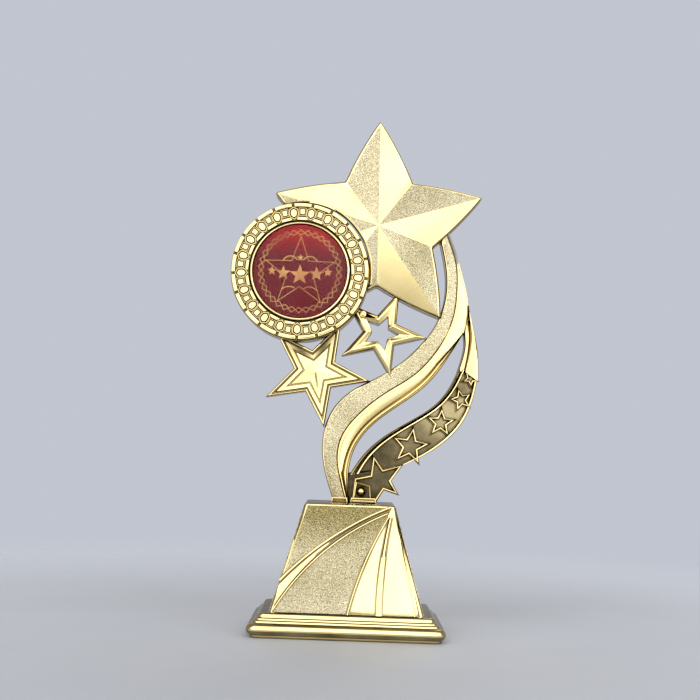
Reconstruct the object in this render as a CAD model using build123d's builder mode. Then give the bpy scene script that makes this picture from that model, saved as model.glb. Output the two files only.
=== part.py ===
from build123d import *
from collections import namedtuple
from math import asin, atan2, cos, hypot, radians, sin, sqrt
import os

# Star trophy: a gold figure of stars and ribbons with a round emblem, on a tapered block.
# Millimetres, +Z up. The origin is the centre of the underside, and the front faces -Y.

# ---- Base: a tapered block on a moulded foot
FOOT_WIDTH = 50.0
FOOT_DEPTH = 34.0
FOOT_CORNER = 3.0
FOOT_HEIGHT = 6.0
BEAD_BOTTOM = 0.6  # height of the foot's half-round bead above the table
BEAD_TOP = 3.6
BEAD_ROUND = 1.45
# Layers of the foot from the table up: bottom, top, and how far inside the bead
FOOT_LAYERS = [(0, 2.0, 1.0), (2.0, 4.2, 1.5), (4.2, 4.8, 2.1), (4.8, FOOT_HEIGHT, 2.7)]
LAYER_CORNER = 2.0
TOP_LAYER_ROUND = 0.9
BLOCK_WIDTH = 39.0  # at the foot
BLOCK_DEPTH = 27.0
TOP_WIDTH = 23.0
TOP_DEPTH = 20.0
BLOCK_CORNER = 1.0
BASE_HEIGHT = 33.3
WALL = 1.8
COVER_WIDTH = 45.0
COVER_DEPTH = 29.0
COVER_THICKNESS = 1.5
COVER_CORNER = 2.0
INSIDE_CORNER = 1.0
WEIGHT_HEIGHT = 11.0
WEIGHT_GAP = 1.0  # room between the weight and the walls
WEIGHT_TOP_WIDTH = 28.0
WEIGHT_TOP_DEPTH = 19.0

# ---- Relief ribs on the sloping front of the block
RIB_HEIGHT = 0.9
BAND_HEIGHT = 0.4
BEAD_WIDTH = 1.3
PANEL_MARGIN = 0.5  # between the ribs' upper ends and the block's top edge

# ---- Figure: depths are measured forwards from its flat back
BACK_Y = 8.0
STAR_RIM = 6.5
STAR_PEAK = 11.5
STAR_WALL = 1.5
EDGE_SWELL = 0.5  # how far the long edges of the main star bulge outwards
SMALL_STAR_HEIGHT = 6.0
SMALL_STAR_FLOOR = 5.0
# The small star's steps from its border inwards: inset and height
SMALL_STAR_STEPS = [(0.6, 5.4), (0.9, 5.8), (2.1, 5.1), (2.4, 5.5)]
OPEN_STAR_EDGE = 5.8
OPEN_STAR_RIDGE = 6.6
RIDGE_INSET = 0.9
RIDGE_WIDTH = 0.15
RIBBON_HEIGHT = 5.6
BAND_DEPTH = 5.2
OUTER_RIBBON_HEIGHT = 6.0
TRAIL_FLOOR = 3.0
TRAIL_RIM = 6.0
TRAIL_RIM_WIDTH = 0.9
TRAIL_STAR_FACE = 5.0
TRAIL_STAR_LINE = 5.9
TRAIL_LINE_WIDTH = 0.55
WINDOW_FLOOR = 4.0

# ---- Medal and emblem
MEDAL_X = -15.4
MEDAL_Z = 93.9
MEDAL_RADIUS = 18.5
MEDAL_HEIGHT = 10.3
MEDAL_GEMS = 21
FIRST_GEM_ANGLE = 98.0
GEM_HEIGHT = 1.0
GEM_CIRCLE = 15.5
GEM_LENGTH = 2.8
GEM_WIDTH = 1.7
SQUARE_SIDE = 1.4
SEAT_RADIUS = 12.5  # a standard 25 mm insert
SEAT_GAP = 0.1
SEAT_DEPTH = 8.2
SEAT_FLOOR = 1.4
SHOULDER = 1.1  # radius of the bezel's rounded outer edge
LIP_WIDTH = 0.7  # rim round the insert
LIP_DROP = 0.5
LAND_DROP = 0.7  # how far the patterned ring lies below the bezel's top
LAND_SLANT = 0.5
PAD_INSET = 0.8
PAD_THICKNESS = 0.3
DISC_THICKNESS = 0.5
DOME_EDGE = 0.3
DOME_RISE = 0.8

# ---- Screws that hold the figure's two feet
SCREW_X = (-2.7, 3.6)
SCREW_Y = 5.5
SCREW_RADIUS = 1.0
SCREW_LENGTH = 7.0
SCREW_HEAD_RADIUS = 2.0
SCREW_HEAD_HEIGHT = 1.4
WASHER_RADIUS = 2.6
WASHER_THICKNESS = 0.5

# A star is drawn on the figure's plane: centre, tip and notch radius, angle of its first tip
Star = namedtuple("Star", "x z tip notch first_angle")
MAIN_STAR = Star(5.0, 106.5, 29.4, 15.5, 90.5)
SMALL_STAR = Star(-10.4, 67.5, 14.9, 5.85, -7.4)
OPEN_STAR = Star(6.7, 78.5, 12.2, 4.8, 68.0)
OPEN_STAR_HOLE = Star(6.7, 78.5, 4.8, 2.3, 68.0)
TRAIL_STARS = [
    Star(31.0, 67.1, 2.6, 1.2, 130.0),
    Star(28.6, 61.4, 3.6, 1.6, 106.0),
    Star(23.4, 55.1, 4.6, 1.9, 87.0),
    Star(15.5, 48.6, 5.8, 2.4, 82.0),
]
# The lowest trail star leans, and its lower left arm is the leg that stands on the base
STANDING_STAR = [
    (5.6, 46.4), (8.5, 42.3), (14.2, 44.1), (10.8, 39.3), (13.1, 35.4),
    (8.9, 36.7), (6.8, BASE_HEIGHT), (0.2, BASE_HEIGHT), (0.9, 39.8), (5.1, 40.7),
]
LEG_WINDOW = [(0.9, 34.0), (1.5, 38.6), (5.0, 37.7), (5.4, 34.0)]
BALL_PLACE = (2.8, 36.3)
BALL_RADIUS = 1.1
BALL_HEIGHT = 2.0
BALL_ROUND = 0.9
MARK_PLACE = (1.7, 83.3)
MARK_RADIUS = 0.9

# Points that the figure's long curves pass through, from the base upwards
RIBBON_LEFT = [(-4.4, BASE_HEIGHT), (-7.6, 43.6), (-7.5, 52.7), (-3.2, 60.7), (7.9, 67.7),
               (17.3, 75.7), (22.2, 83.3), (23.8, 91.5), (21.4, 105.5)]
RIBBON_RIGHT = [(-1.0, BASE_HEIGHT), (-3.1, 40.4), (-3.8, 44.5), (-2.8, 50.6), (0.9, 56.0), (9.6, 63.3),
                (16.4, 68.0), (21.2, 73.5), (24.6, 79.4), (26.4, 85.9), (26.7, 90.6), (26.9, 97.8),
                (25.9, 102.5), (24.3, 106.6), (23.6, 108.0)]
BAND_RIGHT = [(-0.2, BASE_HEIGHT), (-0.5, 42.6), (0.9, 47.7), (4.5, 53.0), (11.9, 59.1),
              (19.7, 65.4), (25.4, 73.3), (28.9, 79.3)]
BAND_TOP = [(28.9, 79.3), (29.8, 83.6), (29.6, 88.9), (28.3, 94.1), (27.1, 98.2)]
OUTER_LEFT = [(27.6, 69.0), (28.9, 73.7), (29.2, 76.3), (28.6, 80.0)]
OUTER_RIGHT = [(33.1, 68.8), (32.9, 73.0), (32.0, 78.3), (30.7, 83.5), (30.0, 86.8)]
TRAIL_LEFT = [(-0.4, 40.4), (2.9, 45.6), (8.4, 50.9), (17.2, 56.5), (22.5, 60.5), (26.1, 65.5), (27.9, 69.5)]
TRAIL_RIGHT = [(13.6, 43.4), (18.2, 45.7), (23.3, 49.0), (29.0, 55.0), (31.9, 62.0), (33.1, 68.8)]
TRAIL_HEEL = [(-1.4, BASE_HEIGHT), (0.6, BASE_HEIGHT), (1.2, 41.0), (-1.4, 41.0)]
CUT_MARGIN = 1.0  # how far a cut runs past the solid

os.makedirs("parts", exist_ok=True)


# ---------------------------------------------------------------- helpers
def finish(builder, name):
    """Name a finished sub-part and write its STEP file."""
    builder.part.label = name
    export_step(builder.part, "parts/" + name + ".step")


def front(depth):
    """Plane parallel to the figure's back, depth in front of it, seen from the front."""
    return Plane.XZ.offset(depth - BACK_Y)


def slab(draw, low, high, mode=Mode.ADD):
    """Extrude an outline between two depths of the figure."""
    with BuildSketch(front(low)) as outline:
        draw()
    extrude(outline.sketch, amount=high - low, mode=mode)


def cut_through(*drawings):
    """Cut the neighbours' outlines out of the current sub-part, through its whole depth."""
    for draw in drawings:
        slab(draw, -CUT_MARGIN, STAR_PEAK + CUT_MARGIN, Mode.SUBTRACT)


def star_points(star):
    """The ten corners of a star, tips and notches in turn, anticlockwise."""
    points = []
    for step in range(10):
        radius = star.notch if step % 2 else star.tip
        angle = radians(star.first_angle + 36 * step)
        points.append((star.x + radius * cos(angle), star.z + radius * sin(angle)))
    return points


def scaled(star, factor):
    return star._replace(tip=star.tip * factor, notch=star.notch * factor)


def inset(star, distance):
    """The star whose edges lie a distance inside those of the given one."""
    reach = sqrt(star.tip**2 + star.notch**2 - 2 * star.tip * star.notch * cos(radians(36)))
    edge_distance = star.tip * star.notch * sin(radians(36)) / reach
    return scaled(star, 1 - distance / edge_distance)


def draw_star(star, mode=Mode.ADD):
    Polygon(*star_points(star), align=None, mode=mode)


def draw_swollen_star(star, swell):
    """Star whose ten edges are shallow arcs that bulge outwards."""
    points = star_points(star)
    with BuildLine() as outline:
        for (x1, z1), (x2, z2) in zip(points, points[1:] + points[:1]):
            length = hypot(x2 - x1, z2 - z1)
            middle = ((x1 + x2) / 2 + swell * (z2 - z1) / length,
                      (z1 + z2) / 2 - swell * (x2 - x1) / length)
            ThreePointArc((x1, z1), middle, (x2, z2))
    make_face(outline.edges())


def beside(points, distance):
    """The points of a curve, moved a distance to its right."""
    moved = []
    for index, (x, z) in enumerate(points):
        x1, z1 = points[max(index - 1, 0)]
        x2, z2 = points[min(index + 1, len(points) - 1)]
        length = hypot(x2 - x1, z2 - z1)
        moved.append((x + distance * (z2 - z1) / length, z - distance * (x2 - x1) / length))
    return moved


def draw_between(left, right):
    """Face between two smooth curves that both run upwards."""
    with BuildLine() as outline:
        first = Spline(*left)
        second = Spline(*right)
        Line(first @ 0, second @ 0)
        Line(first @ 1, second @ 1)
    make_face(outline.edges())


def star_roof(star, rim, peak):
    """Solid under ten flat facets, which fall from one peak to the rim of a star.

    The facets run on past the rim, so that any swollen outline can be cut from them.
    """
    spread = 1.3
    eaves = peak - spread * (peak - rim)
    with BuildPart() as roof:
        with BuildSketch(front(0)):
            draw_star(scaled(star, spread))
        extrude(amount=eaves)
        front_face = roof.faces().sort_by(Axis.Y)[0]
        loft([front_face, Vertex(star.x, BACK_Y - peak, star.z)], ruled=True)
    return roof.part


# ---------------------------------------------------------------- outlines of the figure
def draw_medal():
    with Locations((MEDAL_X, MEDAL_Z)):
        Circle(MEDAL_RADIUS)


def draw_main_star():
    draw_swollen_star(MAIN_STAR, EDGE_SWELL)


def draw_small_star():
    draw_star(SMALL_STAR)


def draw_open_star():
    draw_star(OPEN_STAR)


def draw_sweep_ribbon():
    draw_between(RIBBON_LEFT, RIBBON_RIGHT)


def draw_sweep_band():
    # The left side runs hidden inside the ribbon, which is then cut away from it
    with BuildLine() as outline:
        left = Spline(*[(x - 1, z) for x, z in RIBBON_RIGHT[:-3]])
        right = Spline(*BAND_RIGHT)
        top = Spline(*BAND_TOP)
        Line(left @ 0, right @ 0)
        Line(left @ 1, top @ 1)
    make_face(outline.edges())


def draw_outer_ribbon():
    draw_between(OUTER_LEFT, OUTER_RIGHT)


def draw_trail():
    draw_between(TRAIL_LEFT, TRAIL_RIGHT)


def draw_trail_channel():
    draw_between(beside(TRAIL_LEFT, TRAIL_RIM_WIDTH), beside(TRAIL_RIGHT, -TRAIL_RIM_WIDTH))


def draw_standing_star():
    Polygon(*STANDING_STAR, align=None)


# ---------------------------------------------------------------- base
def base_outline(width, depth, corner, height):
    """Rounded rectangle at a height above the table."""
    with BuildSketch(Plane.XY.offset(height)) as outline:
        RectangleRounded(width, depth, corner)
    return outline.sketch.face()


with BuildPart() as base_shell:
    # Half-round bead all round the foot
    bead = base_outline(FOOT_WIDTH, FOOT_DEPTH, FOOT_CORNER, BEAD_BOTTOM)
    extrude(bead, amount=BEAD_TOP - BEAD_BOTTOM)
    bead_edges = base_shell.edges().group_by(Axis.Z)
    fillet(bead_edges[0] + bead_edges[-1], radius=BEAD_ROUND)
    # Flat sole under the bead, then two small steps and a rounded one above it
    for bottom, top, inward in FOOT_LAYERS:
        layer = base_outline(FOOT_WIDTH - 2 * inward, FOOT_DEPTH - 2 * inward, LAYER_CORNER, bottom)
        extrude(layer, amount=top - bottom)
    fillet(base_shell.edges().group_by(Axis.Z)[-1], radius=TOP_LAYER_ROUND)
    # Tapered block
    block_bottom = base_outline(BLOCK_WIDTH, BLOCK_DEPTH, BLOCK_CORNER, FOOT_HEIGHT)
    block_top = base_outline(TOP_WIDTH, TOP_DEPTH, BLOCK_CORNER, BASE_HEIGHT)
    loft([block_bottom, block_top], ruled=True)
    # Hollow inside, with a rebate underneath for the cover
    with BuildSketch(Plane.XY.offset(FOOT_HEIGHT - WALL)):
        Rectangle(BLOCK_WIDTH - 2 * WALL, BLOCK_DEPTH - 2 * WALL)
    with BuildSketch(Plane.XY.offset(BASE_HEIGHT - WALL)):
        Rectangle(TOP_WIDTH - 2 * WALL, TOP_DEPTH - 2 * WALL)
    loft(ruled=True, mode=Mode.SUBTRACT)
    foot_room = base_outline(COVER_WIDTH - 2 * WALL, COVER_DEPTH - 2 * WALL, INSIDE_CORNER, COVER_THICKNESS)
    extrude(foot_room, amount=FOOT_HEIGHT - WALL - COVER_THICKNESS, mode=Mode.SUBTRACT)
    rebate = base_outline(COVER_WIDTH, COVER_DEPTH, COVER_CORNER, 0)
    extrude(rebate, amount=COVER_THICKNESS, mode=Mode.SUBTRACT)
    # Holes for the two screws
    with BuildSketch(Plane.XY.offset(BASE_HEIGHT)):
        for x in SCREW_X:
            with Locations((x, SCREW_Y)):
                Circle(SCREW_RADIUS)
    extrude(amount=-WALL, mode=Mode.SUBTRACT)
finish(base_shell, "base_shell")

with BuildPart() as bottom_cover:
    extrude(base_outline(COVER_WIDTH, COVER_DEPTH, COVER_CORNER, 0), amount=COVER_THICKNESS)
finish(bottom_cover, "bottom_cover")

with BuildPart() as base_weight:
    # Tapers with the block, with a little room all round
    room = 2 * (WALL + WEIGHT_GAP)
    weight_bottom = base_outline(BLOCK_WIDTH - room, BLOCK_DEPTH - room, INSIDE_CORNER, COVER_THICKNESS)
    weight_top = base_outline(WEIGHT_TOP_WIDTH, WEIGHT_TOP_DEPTH, INSIDE_CORNER,
                              COVER_THICKNESS + WEIGHT_HEIGHT)
    loft([weight_bottom, weight_top], ruled=True)
finish(base_weight, "base_weight")

# The block's front face: local x runs across it, local y up the slope from the foot
half_fall = (BLOCK_DEPTH - TOP_DEPTH) / 2
slope = atan2(half_fall, BASE_HEIGHT - FOOT_HEIGHT)
slope_length = (BASE_HEIGHT - FOOT_HEIGHT) / cos(slope)
front_slope = Plane(origin=(0, -BLOCK_DEPTH / 2, FOOT_HEIGHT), x_dir=(1, 0, 0),
                    z_dir=(0, -cos(slope), sin(slope)))


def trim_to_panel():
    """Keep only what lies on the flat of the front face, inside its rounded corners."""
    foot_half = BLOCK_WIDTH / 2 - BLOCK_CORNER
    top_half = TOP_WIDTH / 2 - BLOCK_CORNER
    top = slope_length - PANEL_MARGIN
    Polygon((-foot_half, 0), (foot_half, 0), (top_half, top), (-top_half, top),
            align=None, mode=Mode.INTERSECT)


# The ribs fan out from the top right corner of the panel
UPPER_BEAD = [(12.0, 27.9), (-2.6, 20.2), (-18.4, 6.6)]
LOWER_BEAD = [(11.5, 26.8), (-5.2, 16.7), (-18.7, -0.6)]
NARROW_RIB = [(10.1, 24.8), (4.8, 14.6), (0.2, -0.5)]
BROAD_RIB_LEFT = [(9.9, 24.5), (8.0, 13.6), (7.2, -0.5)]
BROAD_RIB_RIGHT = [(11.6, 25.5), (9.5, 14.0), (8.9, -0.5)]

with BuildPart() as arc_rib:
    # Polished strip between two beads
    with BuildSketch(front_slope):
        with BuildLine():
            upper = ThreePointArc(*UPPER_BEAD)
            lower = ThreePointArc(*LOWER_BEAD)
            Line(upper @ 0, lower @ 0)
            Line(upper @ 1, lower @ 1)
        make_face()
        trim_to_panel()
    extrude(amount=BAND_HEIGHT)
    for bead in (UPPER_BEAD, LOWER_BEAD):
        with BuildSketch(front_slope):
            with BuildLine():
                ThreePointArc(*bead)
            trace(line_width=BEAD_WIDTH)
            trim_to_panel()
        extrude(amount=RIB_HEIGHT)
finish(arc_rib, "arc_rib")

with BuildPart() as narrow_rib:
    with BuildSketch(front_slope):
        with BuildLine():
            ThreePointArc(*NARROW_RIB)
        trace(line_width=BEAD_WIDTH / 2)
        trim_to_panel()
    extrude(amount=RIB_HEIGHT)
    add(arc_rib.part, mode=Mode.SUBTRACT)
finish(narrow_rib, "narrow_rib")

with BuildPart() as broad_rib:
    with BuildSketch(front_slope):
        with BuildLine():
            left_edge = ThreePointArc(*BROAD_RIB_LEFT)
            right_edge = ThreePointArc(*BROAD_RIB_RIGHT)
            Line(left_edge @ 0, right_edge @ 0)
            Line(left_edge @ 1, right_edge @ 1)
        make_face()
        trim_to_panel()
    extrude(amount=RIB_HEIGHT)
    add([arc_rib.part, narrow_rib.part], mode=Mode.SUBTRACT)
finish(broad_rib, "broad_rib")


# ---------------------------------------------------------------- screws
with BuildPart() as figure_washers:
    with BuildSketch(Plane.XY.offset(BASE_HEIGHT - WALL - WASHER_THICKNESS)):
        with Locations(*[(x, SCREW_Y) for x in SCREW_X]):
            Circle(WASHER_RADIUS)
            Circle(SCREW_RADIUS, mode=Mode.SUBTRACT)
    extrude(amount=WASHER_THICKNESS)
finish(figure_washers, "figure_washers")

with BuildPart() as figure_screws:
    head_top = BASE_HEIGHT - WALL - WASHER_THICKNESS
    with BuildSketch(Plane.XY.offset(head_top - SCREW_HEAD_HEIGHT)):
        with Locations(*[(x, SCREW_Y) for x in SCREW_X]):
            Circle(SCREW_HEAD_RADIUS)
    extrude(amount=SCREW_HEAD_HEIGHT)
    with BuildSketch(Plane.XY.offset(head_top)):
        with Locations(*[(x, SCREW_Y) for x in SCREW_X]):
            Circle(SCREW_RADIUS)
    extrude(amount=SCREW_LENGTH)
finish(figure_screws, "figure_screws")


def screw_hole(x):
    """Hole up into a foot of the figure, as deep as its screw reaches."""
    with BuildSketch(Plane.XY.offset(BASE_HEIGHT)) as hole:
        with Locations((x, SCREW_Y)):
            Circle(SCREW_RADIUS)
    extrude(hole.sketch, amount=SCREW_LENGTH - WALL - WASHER_THICKNESS, mode=Mode.SUBTRACT)


# ---------------------------------------------------------------- stars of the figure
with BuildPart() as main_star:
    slab(draw_main_star, 0, STAR_PEAK + CUT_MARGIN)
    add(star_roof(MAIN_STAR, STAR_RIM, STAR_PEAK), mode=Mode.INTERSECT)
    # Hollow back: the same facets, a wall's thickness further back
    hollow = inset(MAIN_STAR, 2 * STAR_WALL)
    with BuildPart(mode=Mode.PRIVATE) as star_hollow:
        slab(lambda: draw_star(hollow), 0, STAR_PEAK)
        add(star_roof(MAIN_STAR, STAR_RIM - STAR_WALL, STAR_PEAK - STAR_WALL), mode=Mode.INTERSECT)
    add(star_hollow.part, mode=Mode.SUBTRACT)
    cut_through(draw_medal)
finish(main_star, "main_star")

with BuildPart() as small_star:
    # Border, groove, band, second groove and centre, each a smaller star inside the last
    slab(draw_small_star, 0, SMALL_STAR_HEIGHT)
    for distance, height in SMALL_STAR_STEPS:
        step = inset(SMALL_STAR, distance)
        slab(lambda: draw_star(step), SMALL_STAR_FLOOR, SMALL_STAR_HEIGHT, Mode.SUBTRACT)
        slab(lambda: draw_star(step), SMALL_STAR_FLOOR, height)
    cut_through(draw_medal)
finish(small_star, "small_star")

with BuildPart() as open_star:
    # Roof-shaped band: flat at the edges, up to a ridge line, and down again to the hole
    ridge_outside = inset(OPEN_STAR, RIDGE_INSET)
    ridge_inside = inset(OPEN_STAR, RIDGE_INSET + RIDGE_WIDTH)
    slab(draw_open_star, 0, OPEN_STAR_EDGE)
    with BuildSketch(front(OPEN_STAR_EDGE)):
        draw_star(OPEN_STAR)
    with BuildSketch(front(OPEN_STAR_RIDGE)):
        draw_star(ridge_outside)
    loft(ruled=True)
    with BuildSketch(front(OPEN_STAR_EDGE)):
        draw_star(OPEN_STAR_HOLE)
    with BuildSketch(front(OPEN_STAR_RIDGE)):
        draw_star(ridge_inside)
    loft(ruled=True, mode=Mode.SUBTRACT)
    cut_through(lambda: draw_star(OPEN_STAR_HOLE))
    with BuildSketch(front(OPEN_STAR_EDGE)):
        with Locations(MARK_PLACE):
            Circle(MARK_RADIUS)
    extrude(amount=OPEN_STAR_RIDGE - OPEN_STAR_EDGE)
    cut_through(draw_medal, draw_main_star, draw_small_star)
finish(open_star, "open_star")

# ---------------------------------------------------------------- ribbons
with BuildPart() as sweep_ribbon:
    slab(draw_sweep_ribbon, 0, RIBBON_HEIGHT)
    cut_through(draw_main_star, draw_small_star, draw_open_star)
    screw_hole(SCREW_X[0])
finish(sweep_ribbon, "sweep_ribbon")

with BuildPart() as sweep_band:
    slab(draw_sweep_band, 0, BAND_DEPTH)
    cut_through(draw_main_star, draw_open_star, draw_sweep_ribbon)
    screw_hole(SCREW_X[0])
finish(sweep_band, "sweep_band")

with BuildPart() as outer_ribbon:
    slab(draw_outer_ribbon, 0, OUTER_RIBBON_HEIGHT)
    cut_through(draw_sweep_band)
finish(outer_ribbon, "outer_ribbon")


# ---------------------------------------------------------------- star trail
def trail_star_solid(draw, draw_inside):
    """Raised star with a bright line round a slightly lower face."""
    slab(draw, TRAIL_FLOOR, TRAIL_STAR_LINE)
    slab(draw_inside, TRAIL_STAR_FACE, TRAIL_STAR_LINE, Mode.SUBTRACT)


with BuildPart() as star_trail:
    slab(draw_trail, 0, TRAIL_RIM)
    slab(draw_trail_channel, TRAIL_FLOOR, TRAIL_RIM, Mode.SUBTRACT)
    slab(draw_standing_star, 0, TRAIL_FLOOR)
    slab(lambda: Polygon(*TRAIL_HEEL, align=None), 0, TRAIL_FLOOR)
    for star in TRAIL_STARS:
        slab(lambda: draw_star(star), TRAIL_FLOOR, TRAIL_RIM, Mode.SUBTRACT)
    slab(draw_standing_star, TRAIL_FLOOR, TRAIL_RIM, Mode.SUBTRACT)
    cut_through(draw_sweep_band, draw_outer_ribbon)
    screw_hole(SCREW_X[1])
finish(star_trail, "star_trail")

for number, star in enumerate(TRAIL_STARS, start=1):
    with BuildPart() as trail_star:
        trail_star_solid(lambda: draw_star(star), lambda: draw_star(inset(star, TRAIL_LINE_WIDTH)))
        for other in TRAIL_STARS[number:]:
            slab(lambda: draw_star(other), TRAIL_FLOOR, TRAIL_RIM, Mode.SUBTRACT)
        cut_through(draw_outer_ribbon)
        slab(draw_standing_star, TRAIL_FLOOR, TRAIL_RIM, Mode.SUBTRACT)
    finish(trail_star, "trail_star_" + str(number))


def draw_standing_star_inside():
    draw_standing_star()
    offset(amount=-TRAIL_LINE_WIDTH)


with BuildPart() as standing_star:
    trail_star_solid(draw_standing_star, draw_standing_star_inside)
    slab(lambda: Polygon(*LEG_WINDOW, align=None), WINDOW_FLOOR, TRAIL_STAR_LINE, Mode.SUBTRACT)
    cut_through(draw_sweep_band)
    screw_hole(SCREW_X[1])
finish(standing_star, "trail_star_5")

with BuildPart() as ball_boss:
    with BuildSketch(front(WINDOW_FLOOR)):
        with Locations(BALL_PLACE):
            Circle(BALL_RADIUS)
    extrude(amount=BALL_HEIGHT)
    fillet(ball_boss.edges().group_by(Axis.Y)[0], radius=BALL_ROUND)
finish(ball_boss, "ball_boss")

# ---------------------------------------------------------------- medal and emblem
medal_axis = Axis((MEDAL_X, 0, MEDAL_Z), (0, 1, 0))
# Local x is the distance from the medal's axis, local y the depth in front of the back
medal_section = Plane(origin=(MEDAL_X, BACK_Y, MEDAL_Z), x_dir=(1, 0, 0), z_dir=(0, 0, -1))


with BuildSketch() as gem:
    # Pointed oval: two arcs that meet at its ends
    with BuildLine():
        ThreePointArc((-GEM_LENGTH / 2, 0), (0, GEM_WIDTH / 2), (GEM_LENGTH / 2, 0))
        ThreePointArc((GEM_LENGTH / 2, 0), (0, -GEM_WIDTH / 2), (-GEM_LENGTH / 2, 0))
    make_face()

with BuildPart() as medal_bezel:
    with BuildSketch(medal_section):
        with BuildLine():
            outer_wall = MEDAL_RADIUS - WALL
            rim = Polyline(
                (SEAT_RADIUS + SEAT_GAP, MEDAL_HEIGHT - LIP_DROP),
                (SEAT_RADIUS + SEAT_GAP, SEAT_DEPTH),
                (0, SEAT_DEPTH),
                (0, SEAT_DEPTH - SEAT_FLOOR),
                (outer_wall, SEAT_DEPTH - SEAT_FLOOR),
                (outer_wall, 0),
                (MEDAL_RADIUS, 0),
                (MEDAL_RADIUS, MEDAL_HEIGHT - SHOULDER),
            )
            shoulder = RadiusArc(rim @ 1, (MEDAL_RADIUS - SHOULDER, MEDAL_HEIGHT), -SHOULDER)
            Polyline(
                shoulder @ 1,
                (MEDAL_RADIUS - SHOULDER - LAND_SLANT, MEDAL_HEIGHT - LAND_DROP),
                (SEAT_RADIUS + LIP_WIDTH + LAND_SLANT, MEDAL_HEIGHT - LAND_DROP),
                (SEAT_RADIUS + LIP_WIDTH, MEDAL_HEIGHT - LIP_DROP),
                rim @ 0,
            )
        make_face()
    revolve(axis=medal_axis)
    # Ovals and squares in turn round the rim
    with BuildSketch(front(MEDAL_HEIGHT - GEM_HEIGHT)):
        with Locations((MEDAL_X, MEDAL_Z)):
            with PolarLocations(GEM_CIRCLE, MEDAL_GEMS, start_angle=FIRST_GEM_ANGLE):
                add(gem.sketch)
            square_angle = FIRST_GEM_ANGLE - 180 / MEDAL_GEMS
            with PolarLocations(GEM_CIRCLE, MEDAL_GEMS, start_angle=square_angle):
                Rectangle(SQUARE_SIDE, SQUARE_SIDE)
    extrude(amount=GEM_HEIGHT)
finish(medal_bezel, "medal_bezel")

with BuildPart() as emblem_pad:
    with BuildSketch(front(SEAT_DEPTH)):
        with Locations((MEDAL_X, MEDAL_Z)):
            Circle(SEAT_RADIUS - PAD_INSET)
    extrude(amount=PAD_THICKNESS)
finish(emblem_pad, "emblem_pad")

with BuildPart() as emblem_disc:
    with BuildSketch(front(SEAT_DEPTH + PAD_THICKNESS)):
        with Locations((MEDAL_X, MEDAL_Z)):
            Circle(SEAT_RADIUS)
    extrude(amount=DISC_THICKNESS)
finish(emblem_disc, "emblem_disc")

with BuildPart() as emblem_dome:
    # Clear cap: a thin straight edge under a shallow dome
    dome_base = SEAT_DEPTH + PAD_THICKNESS + DISC_THICKNESS
    with BuildSketch(medal_section):
        with BuildLine():
            edge_top = dome_base + DOME_EDGE
            dome_radius = SEAT_RADIUS - SEAT_GAP
            cap_radius = (dome_radius**2 + DOME_RISE**2) / (2 * DOME_RISE)
            side = Polyline((0, dome_base), (dome_radius, dome_base), (dome_radius, edge_top))
            half_way = asin(dome_radius / cap_radius) / 2
            cap = ThreePointArc(
                side @ 1,
                (cap_radius * sin(half_way), edge_top + DOME_RISE - cap_radius * (1 - cos(half_way))),
                (0, edge_top + DOME_RISE),
            )
            Line(cap @ 1, side @ 0)
        make_face()
    revolve(axis=medal_axis)
finish(emblem_dome, "emblem_dome")
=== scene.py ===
import bmesh
import bpy
import numpy as np
from math import atan2, cos, hypot, pi, radians, sin
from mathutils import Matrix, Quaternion, Vector


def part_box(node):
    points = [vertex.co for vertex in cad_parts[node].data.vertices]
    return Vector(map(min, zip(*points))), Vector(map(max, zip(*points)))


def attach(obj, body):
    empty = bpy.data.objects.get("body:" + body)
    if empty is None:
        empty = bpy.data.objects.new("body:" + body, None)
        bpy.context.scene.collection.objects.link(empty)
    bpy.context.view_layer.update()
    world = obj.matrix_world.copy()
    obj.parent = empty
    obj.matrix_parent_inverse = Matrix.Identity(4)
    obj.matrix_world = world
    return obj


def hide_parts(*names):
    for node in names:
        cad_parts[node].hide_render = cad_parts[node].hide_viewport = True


# Star trophy. Lengths in this script are millimetres until a mesh is made; Blender's are metres.
MM = 0.001

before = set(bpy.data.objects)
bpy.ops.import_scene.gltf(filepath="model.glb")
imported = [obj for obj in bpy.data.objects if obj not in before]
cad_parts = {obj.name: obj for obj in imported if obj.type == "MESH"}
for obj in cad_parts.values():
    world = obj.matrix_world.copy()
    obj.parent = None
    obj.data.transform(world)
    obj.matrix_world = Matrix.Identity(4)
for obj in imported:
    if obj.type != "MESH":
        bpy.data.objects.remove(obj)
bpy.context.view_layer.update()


# ---------------------------------------------------------------- places read from the frame
def box_mm(node):
    """Lowest and highest corner of a CAD node, in millimetres."""
    low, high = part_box(node)
    return np.array(low) / MM, np.array(high) / MM


BACK_Y = box_mm("main_star")[1][1]  # the flat back of the figure
medal_low, medal_high = box_mm("medal_bezel")
MEDAL_X = (medal_low[0] + medal_high[0]) / 2
MEDAL_Z = (medal_low[2] + medal_high[2]) / 2
MEDAL_RADIUS = (medal_high[0] - medal_low[0]) / 2
MEDAL_HEIGHT = BACK_Y - medal_low[1]
disc_low, disc_high = box_mm("emblem_disc")
DISC_RADIUS = (disc_high[0] - disc_low[0]) / 2
DISC_FRONT = BACK_Y - disc_low[1]
dome_low, dome_high = box_mm("emblem_dome")
DOME_RADIUS = (dome_high[0] - dome_low[0]) / 2
DOME_TOP = BACK_Y - dome_low[1]
BASE_HEIGHT = box_mm("base_shell")[1][2]

# The block tapers from the foot to the top
FOOT_HEIGHT = 6.0
SHADED_FOOT_WALL = (0.05, 1.9)  # heights between which the foot's lowest wall lies, which gets painted shade
BLOCK_WIDTH, BLOCK_DEPTH = 39.0, 27.0
TOP_WIDTH, TOP_DEPTH = 23.0, 20.0

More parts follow.
